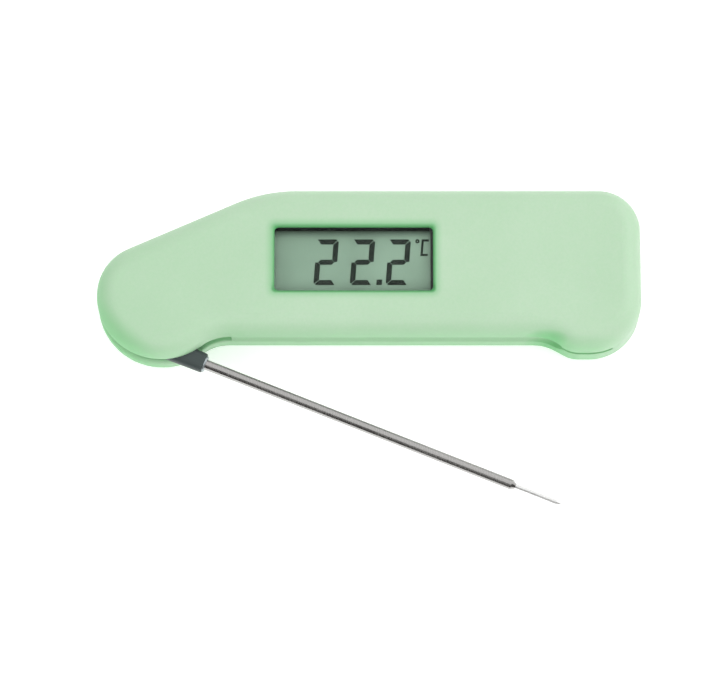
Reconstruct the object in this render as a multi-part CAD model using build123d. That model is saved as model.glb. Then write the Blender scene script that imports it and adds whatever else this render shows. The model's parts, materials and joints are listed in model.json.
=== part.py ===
from build123d import *
import math
import os

# Folding-probe food thermometer, in millimetres.
# X runs along the case away from the pivot, Y across it, Z from the flat back (Z = 0) to the
# display face.  The origin is the probe's pivot axis where it meets the back.
# Left, right, upper and lower are as seen from the display side (+X right, +Y up).

os.makedirs("parts", exist_ok=True)

# ---------------------------------------------------------------------------
# Shared dimensions
# ---------------------------------------------------------------------------
# case outline in plan; angles in radians
LOBE_R = 18.69                        # pivot lobe, centred on the pivot
LOBE_TURN = math.radians(174.7)       # polar angle where the lobe tightens
LOBE_UPPER_R = 14.62                  # tighter radius on the upper left
SLOPE_DEG = 23.95                     # slant of the upper left edge, degrees
SHOULDER_R = 43.5                     # slanted edge to top edge
TOP_Y = 31.2
CORNER_R = 11.94                      # upper right corner
RIGHT_X = 137.6
FOOT_CORNER_R = 14.84                 # lower right corner
FOOT_Y = -16.3                        # lowest point of the foot
FOOT_X = 119.76                       # start of the foot's straight bottom
FOOT_R = 8.35
FOOT_DIP_R = 12.2
FOOT_SLOPE = math.radians(29.2)
BOTTOM_Y = -12.09                     # bottom edge
DIP_R = 12.48                         # hollow between lobe and bottom edge

# case thickness
CASE_T = 19.0
PART_Z = 10.1                         # parting plane, also the mid plane of the probe
EDGE_FRONT_R = 5.6
EDGE_BACK_R = 4.0
WALL = 2.2
ROOF_Z = 17.2                         # inside of the front wall
FLOOR_Z = 1.8                         # inside of the back wall
INNER_Y = -8.3                        # the inside stops here, above the scoop for the stem
INNER_CORNER_R = 3.4

# scoop along the bottom edge for the folded stem, and the tip's slot in the foot
SCOOP_R = 2.76
SCOOP_X0, SCOOP_X1 = 17.0, 112.3
TIP_SLOT_END = 129.3
TIP_SLOT_HALF = 0.85

# probe and hub, laid out folded: the stem runs along +X at Y = -STEM_Y
STEM_Y = 13.37
STEM_R = 1.5
STEM_IN_R = 1.1
STEM_START = 8.7
STEM_END = 113.3
SHOULDER_END = 114.5
TIP_R = 0.65
TIP_IN_R = 0.43
TIP_END = 128.4
TIP_POINT = 1.4                       # length of the conical point
SNOUT_END = 18.6
COLLAR_END = 19.1
HUB_R = 16.2
HUB_HALF = 2.25
HUB_Z0, HUB_Z1 = PART_Z - HUB_HALF, PART_Z + HUB_HALF
POCKET_Z = PART_Z - 1.15              # floor of the pocket in the hub
CAP_Z = PART_Z + 1.15                 # seat of the hub cap
CAP_SCREW_Z = 11.68                   # seat of the screw heads in the cap
TRUNNION_R = 4.0
TRUNNION_Z0, TRUNNION_Z1 = 3.2, 14.8
TRUNNION_END_GAP = 0.2
RUN = 0.05                            # running clearance of the trunnions, radial
REST = Rot(0, 0, -22.03)              # turns the probe from folded to its rest position

# slot for the hub
SLOT_Z0, SLOT_Z1 = PART_Z - 2.45, PART_Z + 2.45
SLOT_R = 16.5
SLOT_X1 = 19.9                        # right end of the slot
SLOT_Y1 = -9.95                       # upper side of its right part
SWEEP_END = math.radians(93)          # upper end of the slot's opening, polar angle
FAR = 60.0                            # beyond the case on the pivot side
FRONT_LIPS = (0.45, 0.3)              # rounding round the lobe, and where it meets the bottom edge
REAR_LIPS = (1.5, 0.6)
BLOCK_R = 18.6                        # solid block left round the pivot
BLOCK_TOP_Z = 14.0

# display window
WIN_X0, WIN_X1 = 32.3, 77.8
WIN_Y0, WIN_Y1 = -0.22, 19.1
WIN_CX, WIN_CY = (WIN_X0 + WIN_X1) / 2, (WIN_Y0 + WIN_Y1) / 2
WIN_W, WIN_H = WIN_X1 - WIN_X0, WIN_Y1 - WIN_Y0
SEAT_Z = 17.7
RIM_R = 1.05
PANE_W, PANE_H, PANE_R = 49.5, 23.3, 1.5
PANE_T = 1.5
ADHESIVE_T = 0.12

# circuit board
PCB_Z0, PCB_Z1 = 9.9, 10.9

# battery compartment
CELL_R = 10.0
CELL_Y = 9.5
CELL_XS = (93.5, 115.5)
CELL_MID_X = sum(CELL_XS) / 2
CELL_ROOF_Z = 6.6                     # top of the pockets cut from the back
TRAY_TOP_Z = 8.0
COVER_CX, COVER_CY = 104.6, 9.5
COVER_W, COVER_H = 46.8, 26.0
COVER_SCREWS = [(CELL_MID_X, CELL_Y + 9.7), (CELL_MID_X, CELL_Y - 9.7)]
# X of the contact beside each cell, and the side of the cell it is on
SIDE_CONTACTS = [(CELL_XS[0] - CELL_R - 0.1, -1), (CELL_XS[1] + CELL_R + 0.1, 1)]
SPRING_OFFSET = 6.9                   # spring leg, left of the cell centre
SWITCH_X, SWITCH_Y = 84.8, 19.4

# label: centre x, centre y, width, height, depth
LABEL_X, LABEL_Y, LABEL_W, LABEL_H, LABEL_DEPTH = 54.0, 9.0, 40.0, 20.0, 0.25

# screws
CASE_SCREWS = [(24.0, -6.3), (24.6, 22.5), (83.8, 26.4), (83.8, -7.3), (131.4, 16.5), (131.4, -3.5)]
CASE_PILLAR_R = 2.8
CASE_SEAT_Z = 4.0
BOARD_SCREWS = [(x, y) for x in (86.5, 125.3) for y in (20.6, -1.8)]
BOARD_PILLAR_R = 2.3
SHANK_R = 0.99
PILOT_R = 1.02
HUB_SCREW_CIRCLE_R = 11.2
HUB_SCREWS = [(HUB_SCREW_CIRCLE_R * math.cos(math.radians(angle)),
               HUB_SCREW_CIRCLE_R * math.sin(math.radians(angle))) for angle in (20, 140, 200)]


# ---------------------------------------------------------------------------
# Helpers
# ---------------------------------------------------------------------------
def cyl(x, y, z0, z1, radius):
    """Upright cylinder between two heights, given in either order."""
    return Pos(x, y, (z0 + z1) / 2) * Cylinder(radius, abs(z1 - z0))


def ring(x, y, z0, z1, outer_r, inner_r):
    return cyl(x, y, z0, z1, outer_r) - cyl(x, y, z0 - 1, z1 + 1, inner_r)


def box(x0, x1, y0, y1, z0, z1):
    return Pos((x0 + x1) / 2, (y0 + y1) / 2, (z0 + z1) / 2) * Box(x1 - x0, y1 - y0, z1 - z0)


def slab(x, y, width, height, z0, z1):
    """Box centred on (x, y) in plan."""
    return Pos(x, y, (z0 + z1) / 2) * Box(width, height, z1 - z0)


def rod(x0, x1, y, z, radius):
    return Pos((x0 + x1) / 2, y, z) * Rot(0, 90, 0) * Cylinder(radius, x1 - x0)


def y_rod(x, y, z, radius, length):
    return Pos(x, y, z) * Rot(90, 0, 0) * Cylinder(radius, length)


def prism(face, z0, z1):
    return Pos(0, 0, z0) * extrude(face, amount=z1 - z0)


def polygon(points):
    return make_face(Polyline(*points, close=True))


def plate(x, y, width, height, radius, z0, z1):
    return Pos(x, y, z0) * extrude(RectangleRounded(width, height, radius), amount=z1 - z0)


def frame(x, y, outer, inner, z0, z1):
    """Flat frame; outer and inner are (width, height, corner radius)."""
    return plate(x, y, *outer, z0, z1) - plate(x, y, *inner, z0 - 1, z1 + 1)


def wire(points, radius):
    """Round wire along straight runs, with a ball at each bend."""
    body = None
    for start, end in zip(points, points[1:]):
        run = Vector(*end) - Vector(*start)
        piece = extrude(Plane(origin=start, z_dir=run) * Circle(radius), amount=run.length)
        body = piece if body is None else body + piece
    for point in points[1:-1]:
        body = body + Pos(*point) * Sphere(radius)
    return body


def screw(x, y, z_top, z_seat, head_r, z_end, shank_r):
    """Cross-recessed screw: head from z_top to z_seat, shank on to z_end."""
    way = 1 if z_end > z_top else -1
    body = cyl(x, y, z_top, z_seat, head_r)
    rim = body.edges().filter_by(GeomType.CIRCLE).sort_by(Axis.Z)[0 if way > 0 else -1]
    body = fillet(rim, min(0.35, head_r * 0.2))
    body += cyl(x, y, z_seat, z_end, shank_r)
    depth = min(0.7, 0.7 * abs(z_seat - z_top))
    for angle in (20, 110):
        slit = Rot(0, 0, angle) * Box(head_r * 1.15, 0.45, depth)
        body -= Pos(x, y, z_top + way * depth / 2) * slit
    return body


def save(name, *shapes):
    solids = [solid for shape in shapes for solid in shape.solids()]
    out = solids[0] if len(solids) == 1 else Compound(children=solids)
    out.label = name
    export_step(out, f"parts/{name}.step")


def save_probe(name, *shapes):
    """Save shapes laid out folded, turned to the rest position."""
    save(name, *[REST * shape for shape in shapes])


# ---------------------------------------------------------------------------
# Case outline
# ---------------------------------------------------------------------------
def polar(centre, radius, angle):
    return (centre[0] + radius * math.cos(angle), centre[1] + radius * math.sin(angle))


def arc(centre, radius, start, end):
    return ThreePointArc(*[polar(centre, radius, a) for a in (start, (start + end) / 2, end)])


QUARTER = math.pi / 2
PIVOT = (0, 0)
SLANT_NORMAL = QUARTER + math.radians(SLOPE_DEG)
UPPER_LOBE_C = polar(PIVOT, LOBE_R - LOBE_UPPER_R, LOBE_TURN)
SLANT_START = polar(UPPER_LOBE_C, LOBE_UPPER_R, SLANT_NORMAL)
DIP_CY = BOTTOM_Y - DIP_R
DIP_C = (math.sqrt((LOBE_R + DIP_R) ** 2 - DIP_CY ** 2), DIP_CY)
DIP_TURN = math.atan2(DIP_C[1], DIP_C[0])    # where the lobe runs into the hollow


def case_outline():
    top_right_c = (RIGHT_X - CORNER_R, TOP_Y - CORNER_R)
    low_right_c = (RIGHT_X - FOOT_CORNER_R, FOOT_Y + FOOT_CORNER_R)
    # the shoulder is tangent to both the slanted edge and the top edge
    cos_n, sin_n = math.cos(SLANT_NORMAL), math.sin(SLANT_NORMAL)
    slant_distance = SLANT_START[0] * cos_n + SLANT_START[1] * sin_n
    shoulder_y = TOP_Y - SHOULDER_R
    shoulder_c = ((slant_distance - SHOULDER_R - shoulder_y * sin_n) / cos_n, shoulder_y)
    # the foot's slope is tangent to the rounds above and below it
    cos_f, sin_f = math.cos(FOOT_SLOPE), math.sin(FOOT_SLOPE)
    slope_length = (BOTTOM_Y - FOOT_Y - (FOOT_R + FOOT_DIP_R) * (1 - cos_f)) / sin_f
    foot_c = (FOOT_X, FOOT_Y + FOOT_R)
    slope_low = polar(foot_c, FOOT_R, -QUARTER - FOOT_SLOPE)
    slope_high = (slope_low[0] - slope_length * cos_f, slope_low[1] + slope_length * sin_f)
    foot_dip_c = (slope_high[0] - FOOT_DIP_R * sin_f, slope_high[1] - FOOT_DIP_R * cos_f)
    return make_face([
        arc(top_right_c, CORNER_R, 0, QUARTER),
        Line((top_right_c[0], TOP_Y), (shoulder_c[0], TOP_Y)),
        arc(shoulder_c, SHOULDER_R, QUARTER, SLANT_NORMAL),
        Line(polar(shoulder_c, SHOULDER_R, SLANT_NORMAL), SLANT_START),
        arc(UPPER_LOBE_C, LOBE_UPPER_R, SLANT_NORMAL, LOBE_TURN),
        arc(PIVOT, LOBE_R, LOBE_TURN, 2 * math.pi + DIP_TURN),
        arc(DIP_C, DIP_R, math.pi + DIP_TURN, QUARTER),
        Line((DIP_C[0], BOTTOM_Y), (foot_dip_c[0], BOTTOM_Y)),
        arc(foot_dip_c, FOOT_DIP_R, QUARTER, QUARTER - FOOT_SLOPE),
        Line(slope_high, slope_low),
        arc(foot_c, FOOT_R, -QUARTER - FOOT_SLOPE, -QUARTER),
        Line((FOOT_X, FOOT_Y), (low_right_c[0], FOOT_Y)),
        arc(low_right_c, FOOT_CORNER_R, -QUARTER, 0),
        Line((RIGHT_X, low_right_c[1]), (RIGHT_X, top_right_c[1])),
    ])


outline = case_outline()
inset = offset(outline, amount=-WALL) - Pos(60, INNER_Y - 50) * Rectangle(300, 100)
inset = offset(offset(inset, amount=-INNER_CORNER_R), amount=INNER_CORNER_R)


# ---------------------------------------------------------------------------
# Hub slot, its rounded lips, and the stem scoop
# ---------------------------------------------------------------------------
def wedge(centre, start, end, z0, z1):
    rim = [polar(centre, FAR, start + (end - start) * i / 6) for i in range(7)]
    return prism(polygon([centre] + rim), z0, z1)


def lip_arc(centre, edge_r, start, end, z, lip_r, up, hollow=False):
    """Cutter that rounds a slot lip along an arc; up = +1 when the material lies above z."""
    torus_z = z + up * lip_r
    z0, z1 = sorted((z - up * 0.2, torus_z))
    torus_r = edge_r + lip_r if hollow else edge_r - lip_r
    outer_r, inner_r = (torus_r, edge_r - 0.6) if hollow else (edge_r + 0.6, torus_r)
    cutter = ring(*centre, z0, z1, outer_r, inner_r)
    cutter -= Pos(*centre, torus_z) * Torus(torus_r, lip_r)
    return cutter & wedge(centre, start, end, z0 - 1, z1 + 1)


def lip_line(start, angle_deg, length, z, lip_r, up):
    """The same along a straight edge."""
    rod_z = z + up * lip_r
    z0, z1 = sorted((z - up * 0.2, rod_z))
    bar = box(0, length, -lip_r, 0.6, z0, z1) - rod(-1, length + 1, -lip_r, rod_z, lip_r)
    return Pos(*start, 0) * Rot(0, 0, angle_deg) * bar


def slot_lips(z, lobe_lip_r, dip_lip_r, up):
    """Cutters from the upper left, round the lobe, to the start of the bottom edge."""
    slant = lip_line(SLANT_START, SLOPE_DEG, 9.0, z, lobe_lip_r, up)
    return [
        slant - wedge(PIVOT, -math.pi / 4, SWEEP_END, z - 5, z + 5),
        lip_arc(UPPER_LOBE_C, LOBE_UPPER_R, SLANT_NORMAL, LOBE_TURN, z, lobe_lip_r, up),
        lip_arc(PIVOT, LOBE_R, LOBE_TURN, 2 * math.pi + DIP_TURN, z, lobe_lip_r, up),
        lip_arc(DIP_C, DIP_R, math.pi + DIP_TURN, QUARTER, z, dip_lip_r, up, hollow=True),
        lip_line((SLOT_X1, BOTTOM_Y), 180, SLOT_X1 - DIP_C[0], z, dip_lip_r, up),
    ]


def hub_slot():
    """Swept room for the hub and its snout, from folded to straight out."""
    sector = polygon([PIVOT, polar(PIVOT, FAR, SWEEP_END), (-FAR, FAR), (-FAR, -FAR),
                      (SLOT_X1, -FAR), (SLOT_X1, SLOT_Y1)])
    right_part = Pos(SLOT_X1 / 2, (SLOT_Y1 - FAR) / 2) * Rectangle(SLOT_X1, SLOT_Y1 + FAR)
    return prism(Circle(SLOT_R) + sector + right_part, SLOT_Z0, SLOT_Z1)


def stem_scoop():
    """Round-ended scoop open to the bottom edge, then the narrow slot for the tip."""
    scoop = rod(SCOOP_X0, SCOOP_X1, -STEM_Y, PART_Z, SCOOP_R)
    for x in (SCOOP_X0, SCOOP_X1):
        scoop += Pos(x, -STEM_Y, PART_Z) * Sphere(SCOOP_R)
        scoop += y_rod(x, -STEM_Y - 10, PART_Z, SCOOP_R, 20)
    scoop += box(SCOOP_X0, SCOOP_X1, -STEM_Y - 20, -STEM_Y, PART_Z - SCOOP_R, PART_Z + SCOOP_R)
    scoop += rod(SCOOP_X1, TIP_SLOT_END, -STEM_Y, PART_Z, TIP_SLOT_HALF)
    scoop += box(SCOOP_X1, TIP_SLOT_END, -30, -STEM_Y,
                 PART_Z - TIP_SLOT_HALF, PART_Z + TIP_SLOT_HALF)
    return scoop


slot = hub_slot()
scoop = stem_scoop()
block_face = (Circle(BLOCK_R) + Pos(-20, 0) * Rectangle(40, 80)
              + Pos(-4.2, -27.6) * Rectangle(51.8, 40))


# ---------------------------------------------------------------------------
# Front case
# ---------------------------------------------------------------------------
def front_cavity():
    cavity = prism(inset, PART_Z - 1, ROOF_Z)
    cavity = fillet(cavity.faces().sort_by(Axis.Z)[-1].edges(), 2.8)
    cavity -= prism(block_face, PART_Z - 2, BLOCK_TOP_Z)
    for x, y in CASE_SCREWS:
        cavity -= cyl(x, y, PART_Z - 2, CASE_T, CASE_PILLAR_R)
    for x, y in BOARD_SCREWS:
        cavity -= cyl(x, y, PCB_Z1, CASE_T, BOARD_PILLAR_R)
    cavity -= cyl(0, 0, 13.0, 14.6, 6.0)
    return cavity


def on_window_rim(edge):
    centre = edge.center()
    return (abs(centre.Z - CASE_T) < 1e-3
            and WIN_X0 - 0.1 < centre.X < WIN_X1 + 0.1
            and WIN_Y0 - 0.1 < centre.Y < WIN_Y1 + 0.1
            and edge.bounding_box().size.Z < 1e-3)


def front_case():
    body = prism(outline, PART_Z, CASE_T)
    body = fillet(body.faces().sort_by(Axis.Z)[-1].edges(), EDGE_FRONT_R)
    body = body - front_cavity() - slot - scoop
    for lip in slot_lips(SLOT_Z1, *FRONT_LIPS, 1):
        body -= lip
    body -= cyl(0, 0, SLOT_Z1 - 0.5, TRUNNION_Z1 + TRUNNION_END_GAP, TRUNNION_R + RUN)
    body -= plate(WIN_CX, WIN_CY + 0.275, WIN_W, WIN_H - 0.45, 1.3, ROOF_Z - 1, CASE_T + 1)
    body -= plate(WIN_CX, WIN_CY, PANE_W + 0.2, PANE_H + 0.2, PANE_R + 0.1, ROOF_Z - 1, SEAT_Z)
    body = fillet(body.edges().filter_by(on_window_rim), RIM_R)
    for x, y in CASE_SCREWS:
        body -= cyl(x, y, PART_Z - 1, 15.4, PILOT_R)
    for x, y in BOARD_SCREWS:
        body -= cyl(x, y, PCB_Z1 - 1, 15.2, PILOT_R)
    return body


save("front_case", front_case())


# ---------------------------------------------------------------------------
# Rear case, its seal, screws and label
# ---------------------------------------------------------------------------
def rear_cavity():
    cavity = prism(inset, FLOOR_Z, PART_Z + 1)
    cavity = fillet(cavity.faces().sort_by(Axis.Z)[0].edges(), 2.2)
    cavity -= prism(block_face, 0, PART_Z + 2)
    for x, y in CASE_SCREWS:
        cavity -= cyl(x, y, 0, PART_Z + 2, CASE_PILLAR_R)
    cavity -= plate(COVER_CX, COVER_CY, COVER_W + 2.4, COVER_H + 2.4, 4.5, 0, TRAY_TOP_Z)
    return cavity


def case_seal():
    path = inset - block_face
    outer = offset(path, amount=1.2)
    inner = offset(path, amount=0.45)
    return prism(outer - inner, PART_Z - 0.75, PART_Z)


def cut_battery_tray(body):
    """Cover recess and seal groove, cell pockets, screw holes, switch and contact slots."""
    body -= plate(COVER_CX, COVER_CY, COVER_W, COVER_H, 4.0, -1, FLOOR_Z)
    body -= frame(COVER_CX, COVER_CY, (COVER_W - 1.2, COVER_H - 1.2, 3.4),
                  (COVER_W - 2.9, COVER_H - 2.9, 2.6), FLOOR_Z, FLOOR_Z + 0.8)
    for x in CELL_XS:
        body -= cyl(x, CELL_Y, 1.0, CELL_ROOF_Z, CELL_R + 0.3)
    body -= slab(CELL_MID_X, CELL_Y, 9, 8, 1.0, CELL_ROOF_Z)
    for x, y in COVER_SCREWS:
        body -= cyl(x, y, 1.0, 6.4, 1.6)
    body -= slab(SWITCH_X, SWITCH_Y, 3.8, 3.0, 1.0, CELL_ROOF_Z)
    for x, _ in SIDE_CONTACTS:
        body -= slab(x, CELL_Y, 0.8, 5.2, 2.2, 9.0)
    for x in CELL_XS:
        body -= slab(x - SPRING_OFFSET, CELL_Y, 1.0, 3.6, 6.0, 9.0)
    return body


def rear_case():
    body = prism(outline, 0, PART_Z)
    body = fillet(body.faces().sort_by(Axis.Z)[0].edges(), EDGE_BACK_R)
    body = body - rear_cavity() - slot - scoop
    for lip in slot_lips(SLOT_Z0, *REAR_LIPS, -1):
        body -= lip
    body -= cyl(0, 0, TRUNNION_Z0 - TRUNNION_END_GAP, SLOT_Z0 + 0.5, TRUNNION_R + RUN)
    body -= seal
    for x, y in CASE_SCREWS:
        body -= cyl(x, y, -1, CASE_SEAT_Z, 2.2)
        body -= cyl(x, y, 3, PART_Z + 1, 1.15)
    body = cut_battery_tray(body)
    body -= plate(LABEL_X, LABEL_Y, LABEL_W, LABEL_H, 2.0, -1, LABEL_DEPTH)
    return body


seal = case_seal()
save("rear_case", rear_case())
save("case_seal", seal)
save("case_screws",
     *[screw(x, y, 2.5, CASE_SEAT_Z, 2.0, 15.0, SHANK_R) for x, y in CASE_SCREWS])
save("back_label",
     plate(LABEL_X, LABEL_Y, LABEL_W - 0.2, LABEL_H - 0.2, 1.9, 0.06, LABEL_DEPTH))


# ---------------------------------------------------------------------------
# Battery cover with its seal, screws and inserts
# ---------------------------------------------------------------------------
def battery_cover():
    cover = plate(COVER_CX, COVER_CY, COVER_W - 0.3, COVER_H - 0.3, 3.85, 0.0, FLOOR_Z - 0.02)
    cover = chamfer(cover.faces().sort_by(Axis.Z)[0].edges(), 0.3)
    for x, y in COVER_SCREWS:
        cover -= cyl(x, y, -1, 1.0, 2.1)
        cover -= cyl(x, y, 0.5, 2.5, 1.15)
    # four shallow grooves near each end
    for end_x in (-19.0, 19.0):
        for i in range(4):
            cover -= slab(COVER_CX + end_x - 1.5 + i, COVER_CY, 0.4, 10, -1, 0.3)
    return cover


def cover_screw(x, y):
    head_top = 0.98
    body = cyl(x, y, 0.1, head_top, 1.95)
    body -= slab(x, y, 3.0, 0.6, -1, 0.5)
    body += cyl(x, y, head_top, 5.2, 0.97)
    return body


def cover_insert(x, y):
    """Blind bush with a groove round the outside."""
    body = cyl(x, y, 2.0, 6.3, 1.58) - cyl(x, y, 1, 5.6, 1.02)
    body -= ring(x, y, 3.6, 4.2, 2.2, 1.35)
    return body


save("battery_cover", battery_cover())
save("cover_seal", frame(COVER_CX, COVER_CY, (COVER_W - 1.26, COVER_H - 1.26, 3.37),
                         (COVER_W - 2.84, COVER_H - 2.84, 2.62), FLOOR_Z, FLOOR_Z + 0.78))
for i, (x, y) in enumerate(COVER_SCREWS, 1):
    save(f"cover_screw_{i}", cover_screw(x, y))
save("cover_inserts", *[cover_insert(x, y) for x, y in COVER_SCREWS])


# ---------------------------------------------------------------------------
# Cells, contacts and unit switch
# ---------------------------------------------------------------------------
CONTACT_TOP_Z = 8.7


def coin_cell(x, y):
    can = cyl(x, y, 2.4, 5.25, CELL_R)
    can = fillet(can.edges().filter_by(GeomType.CIRCLE), 0.45)
    can += cyl(x, y, 5.2, 5.42, 8.9)
    can += cyl(x, y, 5.4, 5.6, 8.2)
    can -= ring(x, y, 2.0, 2.46, 7.6, 7.3)
    return can


def negative_spring(x, y):
    """Upright leg, flat arm over the cell and a round contact near its centre."""
    leg_x = x - SPRING_OFFSET
    spring = slab(leg_x, y, 0.3, 3.0, 5.75, CONTACT_TOP_Z)
    spring += box(leg_x - 0.15, x + 4.0, y - 1.5, y + 1.5, 5.95, 6.2)
    spring += Pos(x + 2.2, y, 5.78) * Cylinder(1.2, 0.36)
    return spring


for i, x in enumerate(CELL_XS, 1):
    save(f"coin_cell_{i}", coin_cell(x, CELL_Y))
# flat springs against the sides of the cells
save("positive_contacts", *[slab(x + side * 0.08, CELL_Y, 0.3, 4.8, 2.3, CONTACT_TOP_Z)
                            for x, side in SIDE_CONTACTS])
save("negative_springs", *[negative_spring(x, CELL_Y) for x in CELL_XS])

save("unit_switch_body", slab(SWITCH_X, SWITCH_Y, 3.5, 2.7, 3.6, CELL_ROOF_Z - 0.02)
     - slab(SWITCH_X, SWITCH_Y, 2.5, 1.0, 3.0, 5.0))
slider = slab(SWITCH_X - 0.6, SWITCH_Y, 1.0, 0.9, 2.5, 4.8)
save("unit_switch_slider", chamfer(slider.faces().sort_by(Axis.Z)[0].edges(), 0.15))


# ---------------------------------------------------------------------------
# Display stack
# ---------------------------------------------------------------------------
GLASS_W, GLASS_T = 50.0, 0.7
FRONT_GLASS_H, REAR_GLASS_H = 25.6, 21.4
FILM_T = 0.12                         # polariser and reflector
REAR_GLASS_Z0 = 13.4
REAR_GLASS_Z1 = REAR_GLASS_Z0 + GLASS_T
FRONT_GLASS_Z0 = 14.2
FRONT_GLASS_Z1 = FRONT_GLASS_Z0 + GLASS_T
REFLECTOR_Z0 = REAR_GLASS_Z0 - FILM_T
INK_Z0 = 14.12                        # the digits lie between the glasses

pane_z1 = SEAT_Z - ADHESIVE_T
save("display_window", plate(WIN_CX, WIN_CY, PANE_W, PANE_H, PANE_R, pane_z1 - PANE_T, pane_z1))
save("window_adhesive", frame(WIN_CX, WIN_CY, (PANE_W, PANE_H, PANE_R), (46.6, 20.4, 1.4),
                              pane_z1, SEAT_Z))
save("lcd_polariser",
     plate(WIN_CX, WIN_CY, 48.0, 21.9, 0.4, FRONT_GLASS_Z1, FRONT_GLASS_Z1 + FILM_T))
save("lcd_front_glass",
     slab(WIN_CX, WIN_CY, GLASS_W, FRONT_GLASS_H, FRONT_GLASS_Z0, FRONT_GLASS_Z1))
save("lcd_rear_glass",
     slab(WIN_CX, WIN_CY, GLASS_W, REAR_GLASS_H, REAR_GLASS_Z0, REAR_GLASS_Z1))
save("lcd_reflector", slab(WIN_CX, WIN_CY, 49.2, 20.8, REFLECTOR_Z0, REAR_GLASS_Z0))
save("lcd_edge_seal", frame(WIN_CX, WIN_CY, (49.6, 21.2, 0.5), (47.6, 19.4, 0.5),
                            REAR_GLASS_Z1, FRONT_GLASS_Z0))

# the digits, each a slanted seven-segment "2"
DIGIT_XS = (43.44, 53.89, 64.18)
DIGIT_Y0 = 3.0
DIGIT_W, DIGIT_H = 6.35, 13.64
BAR = 1.5                             # height of the horizontal segments
STROKE = 1.52                         # width of the vertical segments
SEG_GAP = 0.09
CUT = 0.75                            # cut outer corners
SLANT = 0.074                         # X shift per unit of Y

# points of the decimal point and of the C of the degree sign
POINT_OUTLINE = [(61.5, 3.02), (63.1, 3.02), (63.24, 4.62), (61.64, 4.62)]
C_OUTLINE = [(74.2, 11.68), (76.3, 11.68), (76.35, 12.32), (74.9, 12.32),
             (75.24, 16.03), (76.65, 16.03), (76.7, 16.67), (74.62, 16.67)]


def ink(points):
    return prism(polygon(points), INK_Z0, FRONT_GLASS_Z0)


def digit_two(x0):
    w, h, gap = DIGIT_W, DIGIT_H, SEG_GAP
    mid = h / 2
    near, far = CUT / 2 - gap / 2, CUT / 2 + gap    # ends along the cut corners
    top = [(0.25, h), (w - CUT, h), (w - CUT / 2 - gap, h - near),
           (w - STROKE - gap, h - BAR), (STROKE - 0.15, h - BAR)]
    upper_right = [(w - near, h - far), (w, h - CUT), (w, mid + gap),
                   (w - STROKE / 2 - 0.05, mid + gap), (w - STROKE, mid + BAR / 2 + gap),
                   (w - STROKE, h - BAR - gap)]
    middle = [(STROKE / 2 + gap, mid), (STROKE + gap, mid + BAR / 2),
              (w - STROKE - gap, mid + BAR / 2), (w - STROKE / 2 - gap, mid),
              (w - STROKE - gap, mid - BAR / 2), (STROKE + gap, mid - BAR / 2)]
    lower_left = [(0, CUT), (0, mid - gap), (STROKE / 2 + 0.05, mid - gap),
                  (STROKE, mid - BAR / 2 - gap), (STROKE, BAR + gap), (near, far)]
    bottom = [(CUT, 0), (w - 0.25, 0), (w - STROKE + 0.15, BAR), (STROKE + gap, BAR),
              (far, near)]
    return [ink([(x0 + x + y * SLANT, DIGIT_Y0 + y) for x, y in points])
            for points in (top, upper_right, middle, lower_left, bottom)]


save("lcd_digits", *[segment for x0 in DIGIT_XS for segment in digit_two(x0)],
     ink(POINT_OUTLINE), ring(73.4, 16.1, INK_Z0, FRONT_GLASS_Z0, 0.62, 0.18), ink(C_OUTLINE))

lcd_frame = plate(WIN_CX, WIN_CY, 52.4, 27.0, 1.0, PCB_Z1, 15.98)
lcd_frame -= slab(WIN_CX, WIN_CY, GLASS_W + 0.2, FRONT_GLASS_H + 0.2, PCB_Z1 - 1, 15.06)
lcd_frame -= plate(WIN_CX - 0.55, WIN_CY, 45.2, 20.1, 0.8, 14, 17)
save("lcd_frame", lcd_frame)
save("zebra_strips", *[slab(WIN_CX, WIN_CY + side * 11.85, 46, 1.7, PCB_Z1, FRONT_GLASS_Z0)
                       for side in (-1, 1)])
save("lcd_foam_pad", plate(WIN_CX, WIN_CY, 42.0, 17.0, 1.0, PCB_Z1, REFLECTOR_Z0))

# ---------------------------------------------------------------------------
# Circuit board and parts on it
# ---------------------------------------------------------------------------
BOARD_X0, BOARD_X1 = 28.4, 127.8
LEAD_R = 0.35

board = plate((BOARD_X0 + BOARD_X1) / 2, 9.45, BOARD_X1 - BOARD_X0, 27.3, 1.5, PCB_Z0, PCB_Z1)
board += box(22.4, 29.5, 0.5, 16.0, PCB_Z0, PCB_Z1)    # tongue towards the pivot
for x, y in BOARD_SCREWS:
    board -= cyl(x, y, PCB_Z0 - 1, PCB_Z1 + 1, 1.15)
save("circuit_board", board)
save("board_screws", *[screw(x, y, 8.7, PCB_Z0, 1.8, 14.6, SHANK_R) for x, y in BOARD_SCREWS])


def chip(cx, cy, width, height, thick, x_leads, y_leads, pitch):
    """Chip on the back of the board; x_leads are spaced along X, y_leads along Y."""
    body = slab(cx, cy, width, height, PCB_Z0 - thick, PCB_Z0 - 0.1)
    body = chamfer(body.edges().filter_by(Axis.Z), 0.25)
    for i in range(x_leads):
        x = cx + (i - (x_leads - 1) / 2) * pitch
        body += slab(x, cy, 0.36, height + 1.8, PCB_Z0 - 0.25, PCB_Z0)
    for i in range(y_leads):
        y = cy + (i - (y_leads - 1) / 2) * pitch
        body += slab(cx, y, width + 1.8, 0.36, PCB_Z0 - 0.25, PCB_Z0)
    return body


save("microcontroller", chip(46.0, 9.4, 10.0, 10.0, 1.5, 11, 11, 0.8))
save("amplifier_chip", chip(63.0, 12.5, 5.0, 4.0, 1.6, 4, 0, 1.27))
save("crystal", plate(62.0, 1.8, 8.6, 3.4, 1.69, PCB_Z0 - 3.0, PCB_Z0))

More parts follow.
